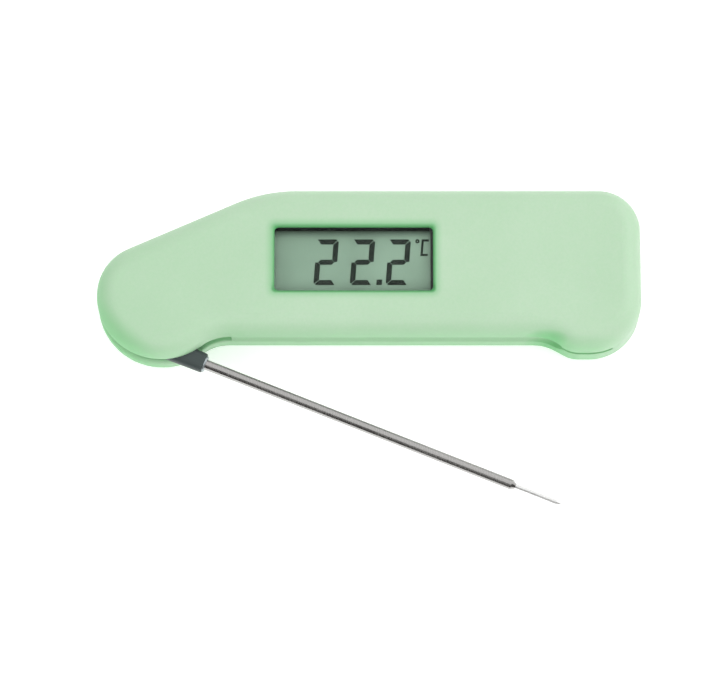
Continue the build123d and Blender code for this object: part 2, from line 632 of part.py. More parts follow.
# small parts: centre x, centre y, width, height
BACK_PARTS = [
    (34.5, 16.0, 1.6, 0.8), (34.5, 13.0, 1.6, 0.8), (34.5, 5.0, 1.6, 0.8), (34.5, 2.0, 2.0, 1.25),
    (40.0, 19.5, 2.0, 1.25), (52.0, 19.5, 1.6, 0.8), (57.0, 18.5, 1.6, 0.8), (68.5, 9.0, 1.6, 0.8),
    (68.5, 6.0, 1.6, 0.8), (55.5, 4.0, 0.8, 1.6), (57.5, 9.5, 0.8, 1.6), (52.0, 0.0, 3.2, 1.6),
    (40.0, -0.5, 1.6, 0.8), (68.0, 19.0, 3.2, 1.6),
]
FRONT_PARTS = [
    (92, 15, 1.6, 0.8), (96, 15, 1.6, 0.8), (100, 12, 2.0, 1.25),
    (92, 5, 1.6, 0.8), (108, 6, 3.2, 1.6), (114, 14, 1.6, 0.8),
]
# on the back, the widest parts are also taller
save("smd_parts",
     *[slab(*part, PCB_Z0 - (0.9 if part[2] > 2.5 else 0.55), PCB_Z0) for part in BACK_PARTS],
     *[slab(*part, PCB_Z1, PCB_Z1 + 0.6) for part in FRONT_PARTS])

TRIMMER_X = 74.3
TRIMMER_YS = {"zero": 16.4, "span": 2.6}


def trimmer_body(x, y):
    body = slab(x, y, 6.0, 6.0, 6.6, PCB_Z0)
    body = chamfer(body.edges().filter_by(Axis.Z), 0.5)
    return body - cyl(x, y, 6.0, 8.6, 2.05)


save("trimmer_bodies", *[trimmer_body(TRIMMER_X, y) for y in TRIMMER_YS.values()])
for name, y in TRIMMER_YS.items():
    save(f"{name}_trimmer_rotor",
         cyl(TRIMMER_X, y, 6.3, 8.55, 2.0) - slab(TRIMMER_X, y, 3.2, 0.5, 6.0, 7.0))

REED_X, REED_Y, REED_Z = 24.3, 8.2, 12.2
REED_SPAN = 13.0                      # between the feet
reed = y_rod(REED_X, REED_Y, REED_Z, 1.1, 10.0)
reed = fillet(reed.edges().filter_by(GeomType.CIRCLE), 0.5)
reed += y_rod(REED_X, REED_Y, REED_Z, 0.25, REED_SPAN)
for side in (-1, 1):
    reed += slab(REED_X, REED_Y + side * REED_SPAN / 2, 0.5, 0.5, PCB_Z1, REED_Z + 0.25)
save("reed_switch", reed)
save("reference_sensor", box(26.0, 27.6, 11.8, 14.6, PCB_Z0 - 1.1, PCB_Z0))

pin_xs = [x for x, _ in SIDE_CONTACTS] + [x - SPRING_OFFSET for x in CELL_XS]
save("battery_pins", *[wire([(x, CELL_Y, z) for z in (CONTACT_TOP_Z, 9.3, PCB_Z0)], LEAD_R)
                       for x in pin_xs])

# ---------------------------------------------------------------------------
# Rotating contacts: the fixed side
# ---------------------------------------------------------------------------
WIPER_Y = 1.3
CARRIER_X1 = 18.0
CARRIER_Z0 = 15.9
LEAD_Z = 16.4


def wiper(x_tip, y):
    arm = box(x_tip - 0.6, 17.0, y - 0.7, y + 0.7, 15.72, CARRIER_Z0)
    return arm + Pos(x_tip, y, 15.64) * Cylinder(0.35, 0.17)


def sensor_lead(y, board_y):
    return wire([(CARRIER_X1, y, LEAD_Z), (22.0, y, LEAD_Z),
                 (26.9, board_y, 14.2), (26.9, board_y, PCB_Z1)], LEAD_R)


save("contact_carrier", box(9.0, CARRIER_X1, -3.4, 3.4, CARRIER_Z0, ROOF_Z))
save("contact_wipers", wiper(5.05, WIPER_Y), wiper(2.5, -WIPER_Y))
save("sensor_leads", sensor_lead(WIPER_Y, 2.0), sensor_lead(-WIPER_Y, 3.7))

# ---------------------------------------------------------------------------
# Probe hub and cap, laid out folded
# ---------------------------------------------------------------------------
CONTACT_DISC_Z1 = 15.38
ORING_GROOVE_R = 3.15


def rounded_section(x, y, width, thick, radius):
    """Section across X on the probe's mid plane, width along Y and thick along Z."""
    plane = Plane(origin=(x, y, PART_Z), x_dir=(0, 1, 0), z_dir=(1, 0, 0))
    return plane * RectangleRounded(width, thick, radius)


def probe_hub():
    disc = cyl(0, 0, HUB_Z0, HUB_Z1, HUB_R)
    disc = fillet(disc.edges().filter_by(GeomType.CIRCLE), 0.5)
    snout = loft([rounded_section(0, -12.72, 6.9, 4.5, 1.5),
                  rounded_section(SNOUT_END, -13.2, 5.6, 4.4, 1.9)])
    snout = fillet(snout.faces().sort_by(Axis.X)[-1].edges(), 0.35)
    hub = disc + snout
    hub += cyl(0, 0, TRUNNION_Z0, HUB_Z0 + 0.1, TRUNNION_R)
    # pocket, cap seat and screw posts
    hub -= cyl(0, 0, POCKET_Z, HUB_Z1 + 1, 12.9)
    hub -= cyl(0, 0, CAP_Z, HUB_Z1 + 1, 14.4)
    hub += Compound(children=[cyl(x, y, POCKET_Z - 0.1, CAP_Z, 1.8) for x, y in HUB_SCREWS])
    for x, y in HUB_SCREWS:
        hub -= cyl(x, y, POCKET_Z + 0.1, 12.0, 0.82)
    # stepped bore for the stem, and a passage from it to the pocket
    hub -= rod(0, SNOUT_END + 1, -STEM_Y, PART_Z, 0.9)
    hub -= rod(STEM_START - 0.1, SNOUT_END + 1, -STEM_Y, PART_Z, STEM_R + 0.01)
    hub -= box(-1.2, 2.6, -STEM_Y - 0.9, -11.0, PART_Z - 0.9, PART_Z + 0.9)
    hub -= ring(0, 0, 4.3, 5.4, 4.5, ORING_GROOVE_R)
    return hub


def hub_cap():
    cap = cyl(0, 0, CAP_Z, HUB_Z1, 14.35) + cyl(0, 0, HUB_Z1 - 0.1, TRUNNION_Z1, TRUNNION_R)
    cap -= cyl(0, 0, 10, 16, 2.0)
    cap -= ring(0, 0, 13.0, 14.1, 4.5, ORING_GROOVE_R)
    for x, y in HUB_SCREWS:
        cap -= cyl(x, y, CAP_SCREW_Z, 13, 1.55)
        cap -= cyl(x, y, 11, 12, 0.9)
    return cap


def contact_disc():
    disc = cyl(0, 0, TRUNNION_Z1, CONTACT_DISC_Z1, 6.4) + cyl(0, 0, 13.4, TRUNNION_Z1 + 0.05, 1.97)
    return disc - cyl(0, 0, 13, 16, 1.1)


save_probe("probe_hub", probe_hub())
save_probe("hub_cap", hub_cap())
save_probe("hub_screws", *[screw(x, y, HUB_Z1 - 0.03, CAP_SCREW_Z, 1.5, 9.2, 0.8)
                           for x, y in HUB_SCREWS])
save_probe("hub_seals", *[Pos(0, 0, z) * Torus(3.59, 0.42) for z in (13.55, 4.85)])
save_probe("hub_magnet", cyl(-4.0, -9.6, POCKET_Z, POCKET_Z + 2.0, 2.0))
save_probe("contact_disc", contact_disc())
save_probe("contact_rings", *[ring(0, 0, CONTACT_DISC_Z1, 15.5, outer_r, inner_r)
                              for outer_r, inner_r in ((5.9, 4.6), (3.5, 2.2))])


# ---------------------------------------------------------------------------
# Probe stem, tip, collar and thermocouple, laid out folded
# ---------------------------------------------------------------------------
def x_cone(x, radius0, radius1, length):
    return Pos(x, -STEM_Y, PART_Z) * Rot(0, 90, 0) * Cone(radius0, radius1, length)


def stem_rod(x0, x1, radius):
    return rod(x0, x1, -STEM_Y, PART_Z, radius)


def probe_stem():
    stem = stem_rod(STEM_START, STEM_END, STEM_R)
    stem += x_cone((STEM_END + SHOULDER_END) / 2, STEM_R, TIP_R + 0.12, SHOULDER_END - STEM_END)
    stem -= stem_rod(8.0, STEM_END - 1.0, STEM_IN_R)
    stem -= stem_rod(100.0, SHOULDER_END + 1, TIP_R + 0.01)
    return stem


def probe_tip():
    tip = stem_rod(STEM_END - 5.0, TIP_END - TIP_POINT, TIP_R)
    tip += x_cone(TIP_END - TIP_POINT / 2, TIP_R, 0.18, TIP_POINT)
    tip -= stem_rod(STEM_END - 6.0, TIP_END - 2.2, TIP_IN_R)
    return tip


def probe_collar():
    x0 = SNOUT_END + 0.02
    section = rounded_section(x0, -STEM_Y + 0.05, 4.7, 4.2, 2.0)
    collar = extrude(section, amount=COLLAR_END - x0)
    collar = fillet(collar.faces().sort_by(Axis.X)[-1].edges(), 0.22)
    collar -= stem_rod(SNOUT_END - 1, COLLAR_END + 1, STEM_R + 0.01)
    return collar


def thermocouple_wire(side):
    """From near the tip, through the stem and hub pocket, up the pivot axis."""
    x = side * 0.5
    y = -STEM_Y + side * 0.22
    z = PART_Z + side * 0.16
    return wire([(TIP_END - 2.9, y, z), (1.2 + x, y, z), (x, -9.0, z), (x, 0.0, z),
                 (x, 0.0, 14.9)], 0.14)


save_probe("probe_stem", probe_stem())
save_probe("probe_tip", probe_tip())
save_probe("probe_collar", probe_collar())
for name, side in (("positive", 1), ("negative", -1)):
    save_probe(f"thermocouple_{name}_wire", thermocouple_wire(side))
save_probe("junction_bead", Pos(TIP_END - 2.62, -STEM_Y, PART_Z) * Sphere(0.4))
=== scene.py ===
"""Folding probe thermometer: looks, floor, lights and camera.

The closed instrument lies on its back on the floor, with its display facing +Z. X runs
along the case, from the pivot lobe at the left to the foot at the right. -Y is the side
near the camera. The stem lies at a slant in the XY plane. Units are metres.
"""

import json
import math

import bpy
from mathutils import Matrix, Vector

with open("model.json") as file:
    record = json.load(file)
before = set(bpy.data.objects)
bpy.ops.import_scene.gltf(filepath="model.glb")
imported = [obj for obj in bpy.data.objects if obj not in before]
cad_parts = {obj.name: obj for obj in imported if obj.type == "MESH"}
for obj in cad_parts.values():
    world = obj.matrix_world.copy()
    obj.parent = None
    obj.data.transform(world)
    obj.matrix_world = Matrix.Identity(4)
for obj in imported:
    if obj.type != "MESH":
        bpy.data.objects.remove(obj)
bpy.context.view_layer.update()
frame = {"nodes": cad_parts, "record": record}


STEM_ANGLE = math.radians(22.03)
ALONG_STEM = (0, 0, STEM_ANGLE)

# display window in the front face: centre, and half its width and height
WINDOW_X, WINDOW_Y = 0.05505, 0.00972
WINDOW_HALF_X, WINDOW_HALF_Y = 0.02275, 0.00944


# ---------------------------------------------------------------------------
# colours (linear RGB) and node helpers
# ---------------------------------------------------------------------------
def srgb(*channels):
    """Linear colour from 0-255 sRGB channels."""
    out = []
    for c in channels:
        c = c / 255.0
        out.append(c / 12.92 if c <= 0.04045 else ((c + 0.055) / 1.055) ** 2.4)
    return tuple(out)


def shade(colour, gain, lift=0.0):
    return tuple(min(1, c * gain + lift) for c in colour)


class Graph:
    """The node tree of a material or world. Values are numbers, tuples or sockets."""

    def __init__(self, owner, output="ShaderNodeOutputMaterial"):
        owner.use_nodes = True
        self.owner = owner
        self.tree = owner.node_tree
        self.tree.nodes.clear()
        self.output = self.node(output)
        self.coords = self.node("ShaderNodeTexCoord")

    def feed(self, socket, value):
        if isinstance(value, bpy.types.NodeSocket):
            self.tree.links.new(value, socket)
        elif socket.type == "RGBA":
            socket.default_value = (*value, 1.0)
        else:
            socket.default_value = value

    def node(self, kind, inputs=None, **settings):
        node = self.tree.nodes.new(kind)
        for key, value in settings.items():
            setattr(node, key, value)
        for key, value in (inputs or {}).items():
            self.feed(node.inputs[key], value)
        return node

    def mapped(self, scale, rot):
        """Object coordinates, scaled and turned."""
        inputs = {"Scale": scale, "Rotation": rot, "Vector": self.coords.outputs["Object"]}
        return self.node("ShaderNodeMapping", inputs).outputs["Vector"]

    def position(self):
        """The object coordinates as separate x, y and z sockets."""
        inputs = {"Vector": self.coords.outputs["Object"]}
        return tuple(self.node("ShaderNodeSeparateXYZ", inputs).outputs)

    def noise(self, scale, detail=2.0, rough=0.5, vector=None, distortion=0.0):
        return self.node("ShaderNodeTexNoise", {
            "Scale": scale,
            "Detail": detail,
            "Roughness": rough,
            "Distortion": distortion,
            "Vector": vector or self.coords.outputs["Object"],
        }).outputs["Fac"]

    def voronoi(self, scale):
        inputs = {"Scale": scale, "Vector": self.coords.outputs["Object"]}
        return self.node("ShaderNodeTexVoronoi", inputs).outputs["Distance"]

    def remap(self, value, to=(0.0, 1.0), source=(0.3, 0.7)):
        """Map source onto to, clamped. The default source is the useful span of a noise."""
        return self.node("ShaderNodeMapRange", {
            "From Min": source[0],
            "From Max": source[1],
            "To Min": to[0],
            "To Max": to[1],
            "Value": value,
        }, clamp=True).outputs["Result"]

    def calc(self, operation, *values):
        inputs = dict(enumerate(values))
        return self.node("ShaderNodeMath", inputs, operation=operation).outputs[0]

    def dot(self, a, b):
        inputs = {0: a, 1: b}
        node = self.node("ShaderNodeVectorMath", inputs, operation="DOT_PRODUCT")
        return node.outputs["Value"]

    def mix(self, factor, a, b):
        """Blend two colours; 0, 6, 7 and output 2 are the Mix node's colour sockets."""
        inputs = {0: factor, 6: a, 7: b}
        return self.node("ShaderNodeMix", inputs, data_type="RGBA").outputs[2]

    def bump(self, height, strength, distance, **inputs):
        inputs.update(Strength=strength, Distance=distance, Height=height)
        return self.node("ShaderNodeBump", inputs).outputs["Normal"]

    def bevel(self, radius):
        return self.node("ShaderNodeBevel", {"Radius": radius}, samples=4).outputs["Normal"]

    def normal(self):
        return self.node("ShaderNodeNewGeometry").outputs["Normal"]

    def edge(self, radius):
        """0 on flat areas, towards 1 on sharp edges."""
        return self.remap(self.dot(self.bevel(radius), self.normal()),
                          to=(1.0, 0.0), source=(0.75, 1.0))

    def surface(self, shader):
        self.feed(self.output.inputs["Surface"], shader.outputs[0])
        return self.owner

    def principled(self, **inputs):
        inputs = {key.replace("_", " "): value for key, value in inputs.items()}
        return self.surface(self.node("ShaderNodeBsdfPrincipled", inputs))


def material_graph(name):
    return Graph(bpy.data.materials.new(name))


# ---------------------------------------------------------------------------
# families of material
# ---------------------------------------------------------------------------
SPARK_DEPTH = 0.00003    # bump distance of the spark texture on moulded plastic


def spark_texture(k, grain):
    """Fine noise, coarser noise, and the height they make together."""
    fine = k.noise(scale=grain, detail=3.0, rough=0.6)
    coarse = k.noise(scale=grain * 0.22)
    coarse_share = 0.6
    return fine, coarse, k.calc("ADD", fine, k.calc("MULTIPLY", coarse, coarse_share))


def moulded(name, colour, rough=0.45, grain=1500.0, strength=0.35, var=0.05, worn=0.0):
    """Moulded plastic: fine spark texture, faint flow marks, paler polished edges if worn."""
    k = material_graph(name)
    fine, coarse, height = spark_texture(k, grain)
    flow = k.noise(scale=38.0, detail=3.0, rough=0.55, distortion=0.6)
    dark = shade(colour, gain=1 - var)
    base = k.mix(k.remap(flow), dark, shade(colour, gain=1 + var))
    base = k.mix(k.remap(fine, to=(0, 0.22), source=(0.35, 0.65)), base, dark)
    roughness = k.calc("ADD", k.remap(coarse, to=(-0.05, 0.05)),
                       k.remap(flow, to=(rough - 0.04, rough + 0.05)))
    if worn > 0:
        edge = k.calc("MULTIPLY", k.edge(radius=0.0008), worn)
        polish = 0.12    # drop in roughness on a fully worn edge
        base = k.mix(edge, base, shade(colour, gain=1.25, lift=0.03))
        roughness = k.calc("SUBTRACT", roughness, k.calc("MULTIPLY", edge, polish))
    normal = k.bump(height, strength=strength, distance=SPARK_DEPTH)
    return k.principled(Base_Color=base, Roughness=roughness, Normal=normal)


def metal(name, colour, rough, scale, rot=(0, 0, 0), var=0.12, strength=0.3):
    """Ground or plated metal: fine lines one way, smudges, and tiny pits."""
    k = material_graph(name)
    lines = k.noise(scale=1.0, detail=4.0, rough=0.65, vector=k.mapped(scale, rot))
    smudge = k.noise(scale=160.0, detail=3.0, rough=0.6, distortion=0.4)
    pits = k.remap(k.voronoi(scale=2600.0), to=(1.0, 0.0), source=(0.0, 0.12))
    pit_depth = 0.35    # against the height of the lines
    dark = shade(colour, gain=1 - var)
    base = k.mix(k.remap(lines), dark, shade(colour, gain=1 + var))
    base = k.mix(k.remap(smudge, to=(0, 0.18), source=(0.45, 0.75)), base, dark)
    roughness = k.calc("ADD", k.remap(lines, to=(rough * 0.75, rough * 1.25)),
                       k.remap(smudge, to=(-0.03, 0.07)))
    height = k.calc("SUBTRACT", lines, k.calc("MULTIPLY", pits, pit_depth))
    normal = k.bump(height, strength=strength, distance=0.000006)
    return k.principled(Base_Color=base, Metallic=1.0, Roughness=roughness, Normal=normal)


def rubbery(name, colour, rough=0.75, grain=1100.0):
    """Matt, grainy rubber or foam with paler blotches."""
    k = material_graph(name)
    fine = k.noise(scale=grain, detail=4.0, rough=0.7)
    blotch = k.noise(scale=90.0)
    base = k.mix(k.remap(fine), shade(colour, gain=0.8), shade(colour, gain=1.25))
    base = k.mix(k.remap(blotch, to=(0, 0.35), source=(0.5, 0.8)), base,
                 shade(colour, gain=1.6, lift=0.02))
    roughness = k.remap(blotch, to=(rough - 0.08, rough + 0.08))
    normal = k.bump(fine, strength=0.5, distance=0.00004)
    return k.principled(Base_Color=base, Roughness=roughness, Normal=normal)


def clear_sheet(name, tint, mirror, rough, tint_amount):
    """Thin clear sheet: lets light straight through, with faint reflection, scuffs, smears."""
    k = material_graph(name)
    smear = k.noise(scale=60.0, detail=3.0, rough=0.6, distortion=0.8)
    scuff = k.noise(scale=1.0, detail=4.0, rough=0.6,
                    vector=k.mapped(scale=(300, 2600, 300), rot=(0, 0, 0.6)))
    clean = tuple(1 - (1 - c) * tint_amount for c in tint)
    colour = k.mix(k.remap(smear), clean, shade(clean, gain=0.985))
    through = k.node("ShaderNodeBsdfTransparent", {"Color": colour})
    roughness = k.calc("ADD",
                       k.remap(smear, to=(rough, rough + 0.08), source=(0.35, 0.7)),
                       k.remap(scuff, to=(0, 0.04), source=(0.5, 0.75)))
    gloss = k.node("ShaderNodeBsdfGlossy", {
        "Color": (0.9, 0.95, 0.92),
        "Roughness": roughness,
        "Normal": k.bump(scuff, strength=0.12, distance=0.000005),
    })
    fresnel = k.node("ShaderNodeFresnel", {"IOR": 1.4}).outputs[0]
    return k.surface(k.node("ShaderNodeMixShader", {
        0: k.calc("MULTIPLY", fresnel, mirror),
        1: through.outputs[0],
        2: gloss.outputs[0],
    }))


# ---------------------------------------------------------------------------
# mint case: translucent satin moulding
# ---------------------------------------------------------------------------
# the deep green also tints the spark grain; it and the three greens after it are colours of
# painted shade
MINT = (0.418, 0.592, 0.415)
MINT_PALE = (0.448, 0.614, 0.444)
MINT_DEEP = (0.212, 0.535, 0.236)
MINT_SHADE = (0.130, 0.470, 0.165)
MINT_RIM_SHADE = (0.085, 0.420, 0.130)
MINT_LINE_SHADE = (0.070, 0.300, 0.100)

TOWARDS_LIGHT = (0.80, 0.35, 0.50)
RIM_INSET = 0.0004            # the rim is measured from this far inside the window
FRONT_Z = (0.0155, 0.0165)    # the front face starts between these heights

# painted shade in the hollow where the stem's scoop ends, over the tip's slot: an ellipse
# centred at the x and at minus the y depth given below
SCOOP_SHADE_X, SCOOP_SHADE_DEPTH_Y = 0.1095, 0.0137
SCOOP_SHADE_RADIUS_X, SCOOP_SHADE_RADIUS_Y = 0.0068, 0.0028


def mint_painted_shade(k, colour):
    """Painted shade: greener where the wall turns from the light or lies close to another
    surface.
    """
    turned_shade = k.remap(k.dot(k.normal(), TOWARDS_LIGHT), source=(0.44, -0.72))
    turned_shade = k.calc("POWER", turned_shade, 1.5)
    # painted shade in hollows and where the wall lies close to another part
    openness = k.node("ShaderNodeAmbientOcclusion", {"Distance": 0.007}, samples=6).outputs["AO"]
    near_share, deep_share = 0.72, 0.95
    contact_shade = k.calc("MULTIPLY", k.remap(openness, source=(0.97, 0.32)), near_share)
    deep_shade = k.calc("MULTIPLY", k.calc("MAXIMUM", turned_shade, contact_shade), deep_share)
    hollow_shade = k.remap(openness, to=(0.38, 0.0), source=(0.35, 0.95))
    return k.mix(hollow_shade, k.mix(deep_shade, colour, MINT_DEEP), MINT_SHADE)


def mint_window_shade(k, colour, x, y, z):
    """Painted shade: deep green round the window, standing in for the shade of its recess and of
    the dark frame below.
    """
    def outside(coordinate, centre, half):
        offset = k.calc("ABSOLUTE", k.calc("SUBTRACT", coordinate, centre))
        return k.calc("MAXIMUM", k.calc("SUBTRACT", offset, half), 0.0)

    dx = outside(x, WINDOW_X, WINDOW_HALF_X - RIM_INSET)
    dy = outside(y, WINDOW_Y, WINDOW_HALF_Y - RIM_INSET)
    distance = k.calc("SQRT", k.calc("ADD", k.calc("MULTIPLY", dx, dx),
                                     k.calc("MULTIPLY", dy, dy)))
    rim_falloff, rim_share = 1.6, 0.92
    rim_shade = k.calc("POWER", k.remap(distance, source=(0.0034, 0.0002)), rim_falloff)
    front = k.remap(z, source=FRONT_Z)
    rim_shade = k.calc("MULTIPLY", k.calc("MULTIPLY", rim_shade, front), rim_share)
    colour = k.mix(rim_shade, colour, MINT_RIM_SHADE)
    # painted shade: a dark line at the opening, strongest along its near (-Y) side
    line_shade = k.remap(distance, source=(0.00140, 0.00080))
    near_side = k.remap(y, to=(0.25, 1.0), source=(WINDOW_Y - 0.007, WINDOW_Y - 0.009))
    line_shade = k.calc("MULTIPLY", k.calc("MULTIPLY", line_shade, front), near_side)
    return k.mix(line_shade, colour, MINT_LINE_SHADE)


def mint_end_shade(k, colour, x, y):
    """Painted shade: deeper green at the lobe, the foot and the end of the stem's scoop."""
    lobe_share, foot_share, under_share = 0.30, 0.45, 0.6
    # painted shade: the face grows duller towards the pivot lobe at the left, away from the
    # light
    lobe_shade = k.remap(x, to=(0.35, 0.0), source=(-0.020, 0.040))
    colour = k.mix(k.calc("MULTIPLY", lobe_shade, lobe_share), colour, MINT_DEEP)
    # painted shade on the turned-under edges of the foot, and of the lobe at its near left
    foot_shade = k.calc("MULTIPLY", k.remap(y, source=(-0.0125, -0.0195)),
                  k.remap(x, source=(0.110, 0.120)))
    under_shade = k.remap(k.calc("ADD", x, y), source=(-0.0185, -0.0265))
    turned_shade = k.calc("MAXIMUM", k.calc("MULTIPLY", foot_shade, foot_share),
                    k.calc("MULTIPLY", under_shade, under_share))
    colour = k.mix(turned_shade, colour, MINT_DEEP)
    # painted shade at the end of the stem's scoop
    across = k.calc("DIVIDE", k.calc("SUBTRACT", x, SCOOP_SHADE_X), SCOOP_SHADE_RADIUS_X)
    along = k.calc("DIVIDE", k.calc("ADD", y, SCOOP_SHADE_DEPTH_Y), SCOOP_SHADE_RADIUS_Y)
    spread = k.calc("ADD", k.calc("MULTIPLY", across, across),
                    k.calc("MULTIPLY", along, along))
    scoop_shade = k.remap(spread, to=(0.85, 0.0), source=(0.0, 1.0))
    return k.mix(scoop_shade, colour, MINT_SHADE)


def mint_plastic():
    """Spark texture, faint flow marks, greens of painted shade, and rounded, handled edges."""
    k = material_graph("mint_case")
    fine, coarse, height = spark_texture(k, grain=1500.0)
    flow = k.noise(scale=30.0, detail=3.0, distortion=0.5)
    colour = k.mix(k.remap(flow), MINT, MINT_PALE)
    colour = k.mix(k.remap(fine, to=(0, 0.10), source=(0.35, 0.65)), colour, MINT_DEEP)
    colour = mint_painted_shade(k, colour)
    x, y, z = k.position()
    colour = mint_window_shade(k, colour, x, y, z)
    colour = mint_end_shade(k, colour, x, y)
    wear_share = 0.25
    worn = k.calc("MULTIPLY", k.edge(radius=0.0005), wear_share)
    return k.principled(
        Base_Color=k.mix(worn, colour, MINT_PALE),
        Roughness=k.calc("ADD", k.remap(coarse, to=(-0.04, 0.04)),
                         k.remap(flow, to=(0.42, 0.52))),
        Normal=k.bump(height, strength=0.22, distance=SPARK_DEPTH,
                      Normal=k.bevel(radius=0.00028)),
        Specular_IOR_Level=0.42,
        Subsurface_Weight=0.15,
        Subsurface_Scale=0.002,
        Subsurface_Radius=(0.5, 1.0, 0.5),
    )


# ---------------------------------------------------------------------------
# other single materials
# ---------------------------------------------------------------------------
def board_material():
    """Solder mask with fine tracks and plated pads."""
    k = material_graph("pcb_green")
    tracks = k.node("ShaderNodeTexBrick", {
        "Scale": 210.0,
        "Mortar Size": 0.09,
        "Mortar Smooth": 0.2,
        "Color1": (0, 0, 0),
        "Color2": (0.15, 0.15, 0.15),
        "Mortar": (1, 1, 1),
        "Vector": k.coords.outputs["Object"],
    }).outputs
    grain = k.noise(scale=2200.0)
    colour = k.mix(tracks["Color"], (0.012, 0.105, 0.04), (0.03, 0.20, 0.07))
    pads = k.remap(k.voronoi(scale=330.0), to=(1.0, 0.0), source=(0.10, 0.14))
    colour = k.mix(pads, colour, (0.55, 0.47, 0.22))
    grain_height, pad_metal = 0.2, 0.9
    height = k.calc("ADD", tracks["Fac"], k.calc("MULTIPLY", grain, grain_height))
    return k.principled(
        Base_Color=colour,
        Roughness=k.remap(grain, to=(0.3, 0.42)),
        Normal=k.bump(height, strength=0.4, distance=0.00003),
        Metallic=k.calc("MULTIPLY", pads, pad_metal),
    )


def lcd_ink():
    """Near-black display segments."""
    k = material_graph("lcd_ink")
    fine = k.noise(scale=2600.0)
    blotch = k.noise(scale=120.0)
    return k.principled(
        Base_Color=k.mix(k.remap(blotch), srgb(8, 14, 10), srgb(16, 24, 18)),
        Roughness=k.remap(fine, to=(0.45, 0.6)),
        Normal=k.bump(fine, strength=0.2, distance=0.000008),
    )


def paper_label():
    """Grey paper with visible fibres."""
    k = material_graph("label_grey")
    fibres = k.noise(scale=900.0, detail=5.0, rough=0.7)
    blotch = k.noise(scale=70.0)
    colour = k.mix(k.remap(fibres), srgb(188, 192, 189), srgb(210, 212, 208))
    colour = k.mix(k.remap(blotch, to=(0, 0.3), source=(0.45, 0.7)), colour,
                   srgb(196, 198, 190))
    return k.principled(
        Base_Color=colour,
        Roughness=k.remap(fibres, to=(0.5, 0.65)),
        Normal=k.bump(fibres, strength=0.3, distance=0.00002),
    )


def lcd_ground():
    """Grey-green display ground: a faint gradient, sparkle, blotches, a painted shadow along the
    far edge.
    """
    k = material_graph("lcd_ground")
    x, y, _ = k.position()
    across = k.remap(x, source=(WINDOW_X - WINDOW_HALF_X, WINDOW_X + WINDOW_HALF_X))
    sparkle = k.noise(scale=5200.0, rough=0.7, detail=2.0)
    blotch = k.noise(scale=45.0)
    left, right = srgb(172, 184, 176), srgb(190, 201, 193)
    colour = k.mix(across, left, right)
    colour = k.mix(k.remap(sparkle, to=(0, 0.35)), colour, srgb(198, 208, 200))
    colour = k.mix(k.remap(blotch, to=(0, 0.25), source=(0.35, 0.7)), colour, left)
    shadow_falloff, shadow_share = 1.3, 0.85
    shadow = k.calc("POWER", k.remap(y, source=(0.0169, 0.0192)), shadow_falloff)
    colour = k.mix(k.calc("MULTIPLY", shadow, shadow_share), colour, srgb(40, 52, 44))
    return k.principled(
        Base_Color=colour,
        Roughness=k.remap(sparkle, to=(0.45, 0.6)),
        Normal=k.bump(sparkle, strength=0.25, distance=0.00001),
    )


